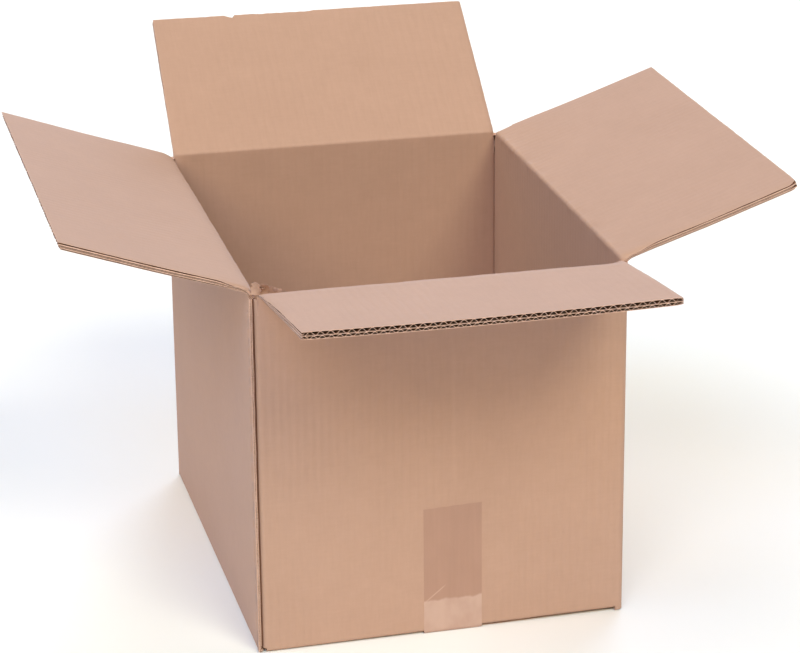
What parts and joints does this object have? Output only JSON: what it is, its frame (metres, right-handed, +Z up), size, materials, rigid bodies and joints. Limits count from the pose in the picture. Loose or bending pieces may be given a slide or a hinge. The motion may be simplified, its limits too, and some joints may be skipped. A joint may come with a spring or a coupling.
{
  "type": "open cardboard box",
  "caption": "Open double-wall corrugated cardboard carton with hinged top flaps folded outwards and a base taped shut.",
  "frame": {"origin": "middle of the base, on the underside of the tape over the base seam, where the carton stands", "axes": "+Z up, X across the short front and back panels, front panel faces -Y, Y along the long side panels"},
  "size_m": [0.6075, 0.6693, 0.4087],
  "materials": {
    "board": "matt brown kraft liner, slightly washboarded over the flutes",
    "tape": "thin translucent brown film, low gloss"
  },
  "bodies": {
    "carton": {"carton_body": "board", "packing_tape": "tape"},
    "front": {"front_flap": "board"},
    "back": {"back_flap": "board"},
    "left": {"left_flap": "board"},
    "right": {"right_flap": "board"}
  },
  "joints": [
    {"name": "front_flap_fold", "type": "hinge", "parent": "carton", "child": "front", "pos_m": [0, -0.1964, 0.3061], "axis": [1, 0, 0], "range_deg": [-173.8, 86.2]},
    {"name": "back_flap_fold", "type": "hinge", "parent": "carton", "child": "back", "pos_m": [0, 0.1964, 0.3061], "axis": [-1, 0, 0], "range_deg": [-142.6, 117.4]},
    {"name": "left_flap_fold", "type": "hinge", "parent": "carton", "child": "left", "pos_m": [-0.1564, 0, 0.3094], "axis": [0, -1, 0], "range_deg": [-160.8, 99.2]},
    {"name": "right_flap_fold", "type": "hinge", "parent": "carton", "child": "right", "pos_m": [0.1564, 0, 0.3094], "axis": [0, 1, 0], "range_deg": [-160.9, 99.1]}
  ]
}
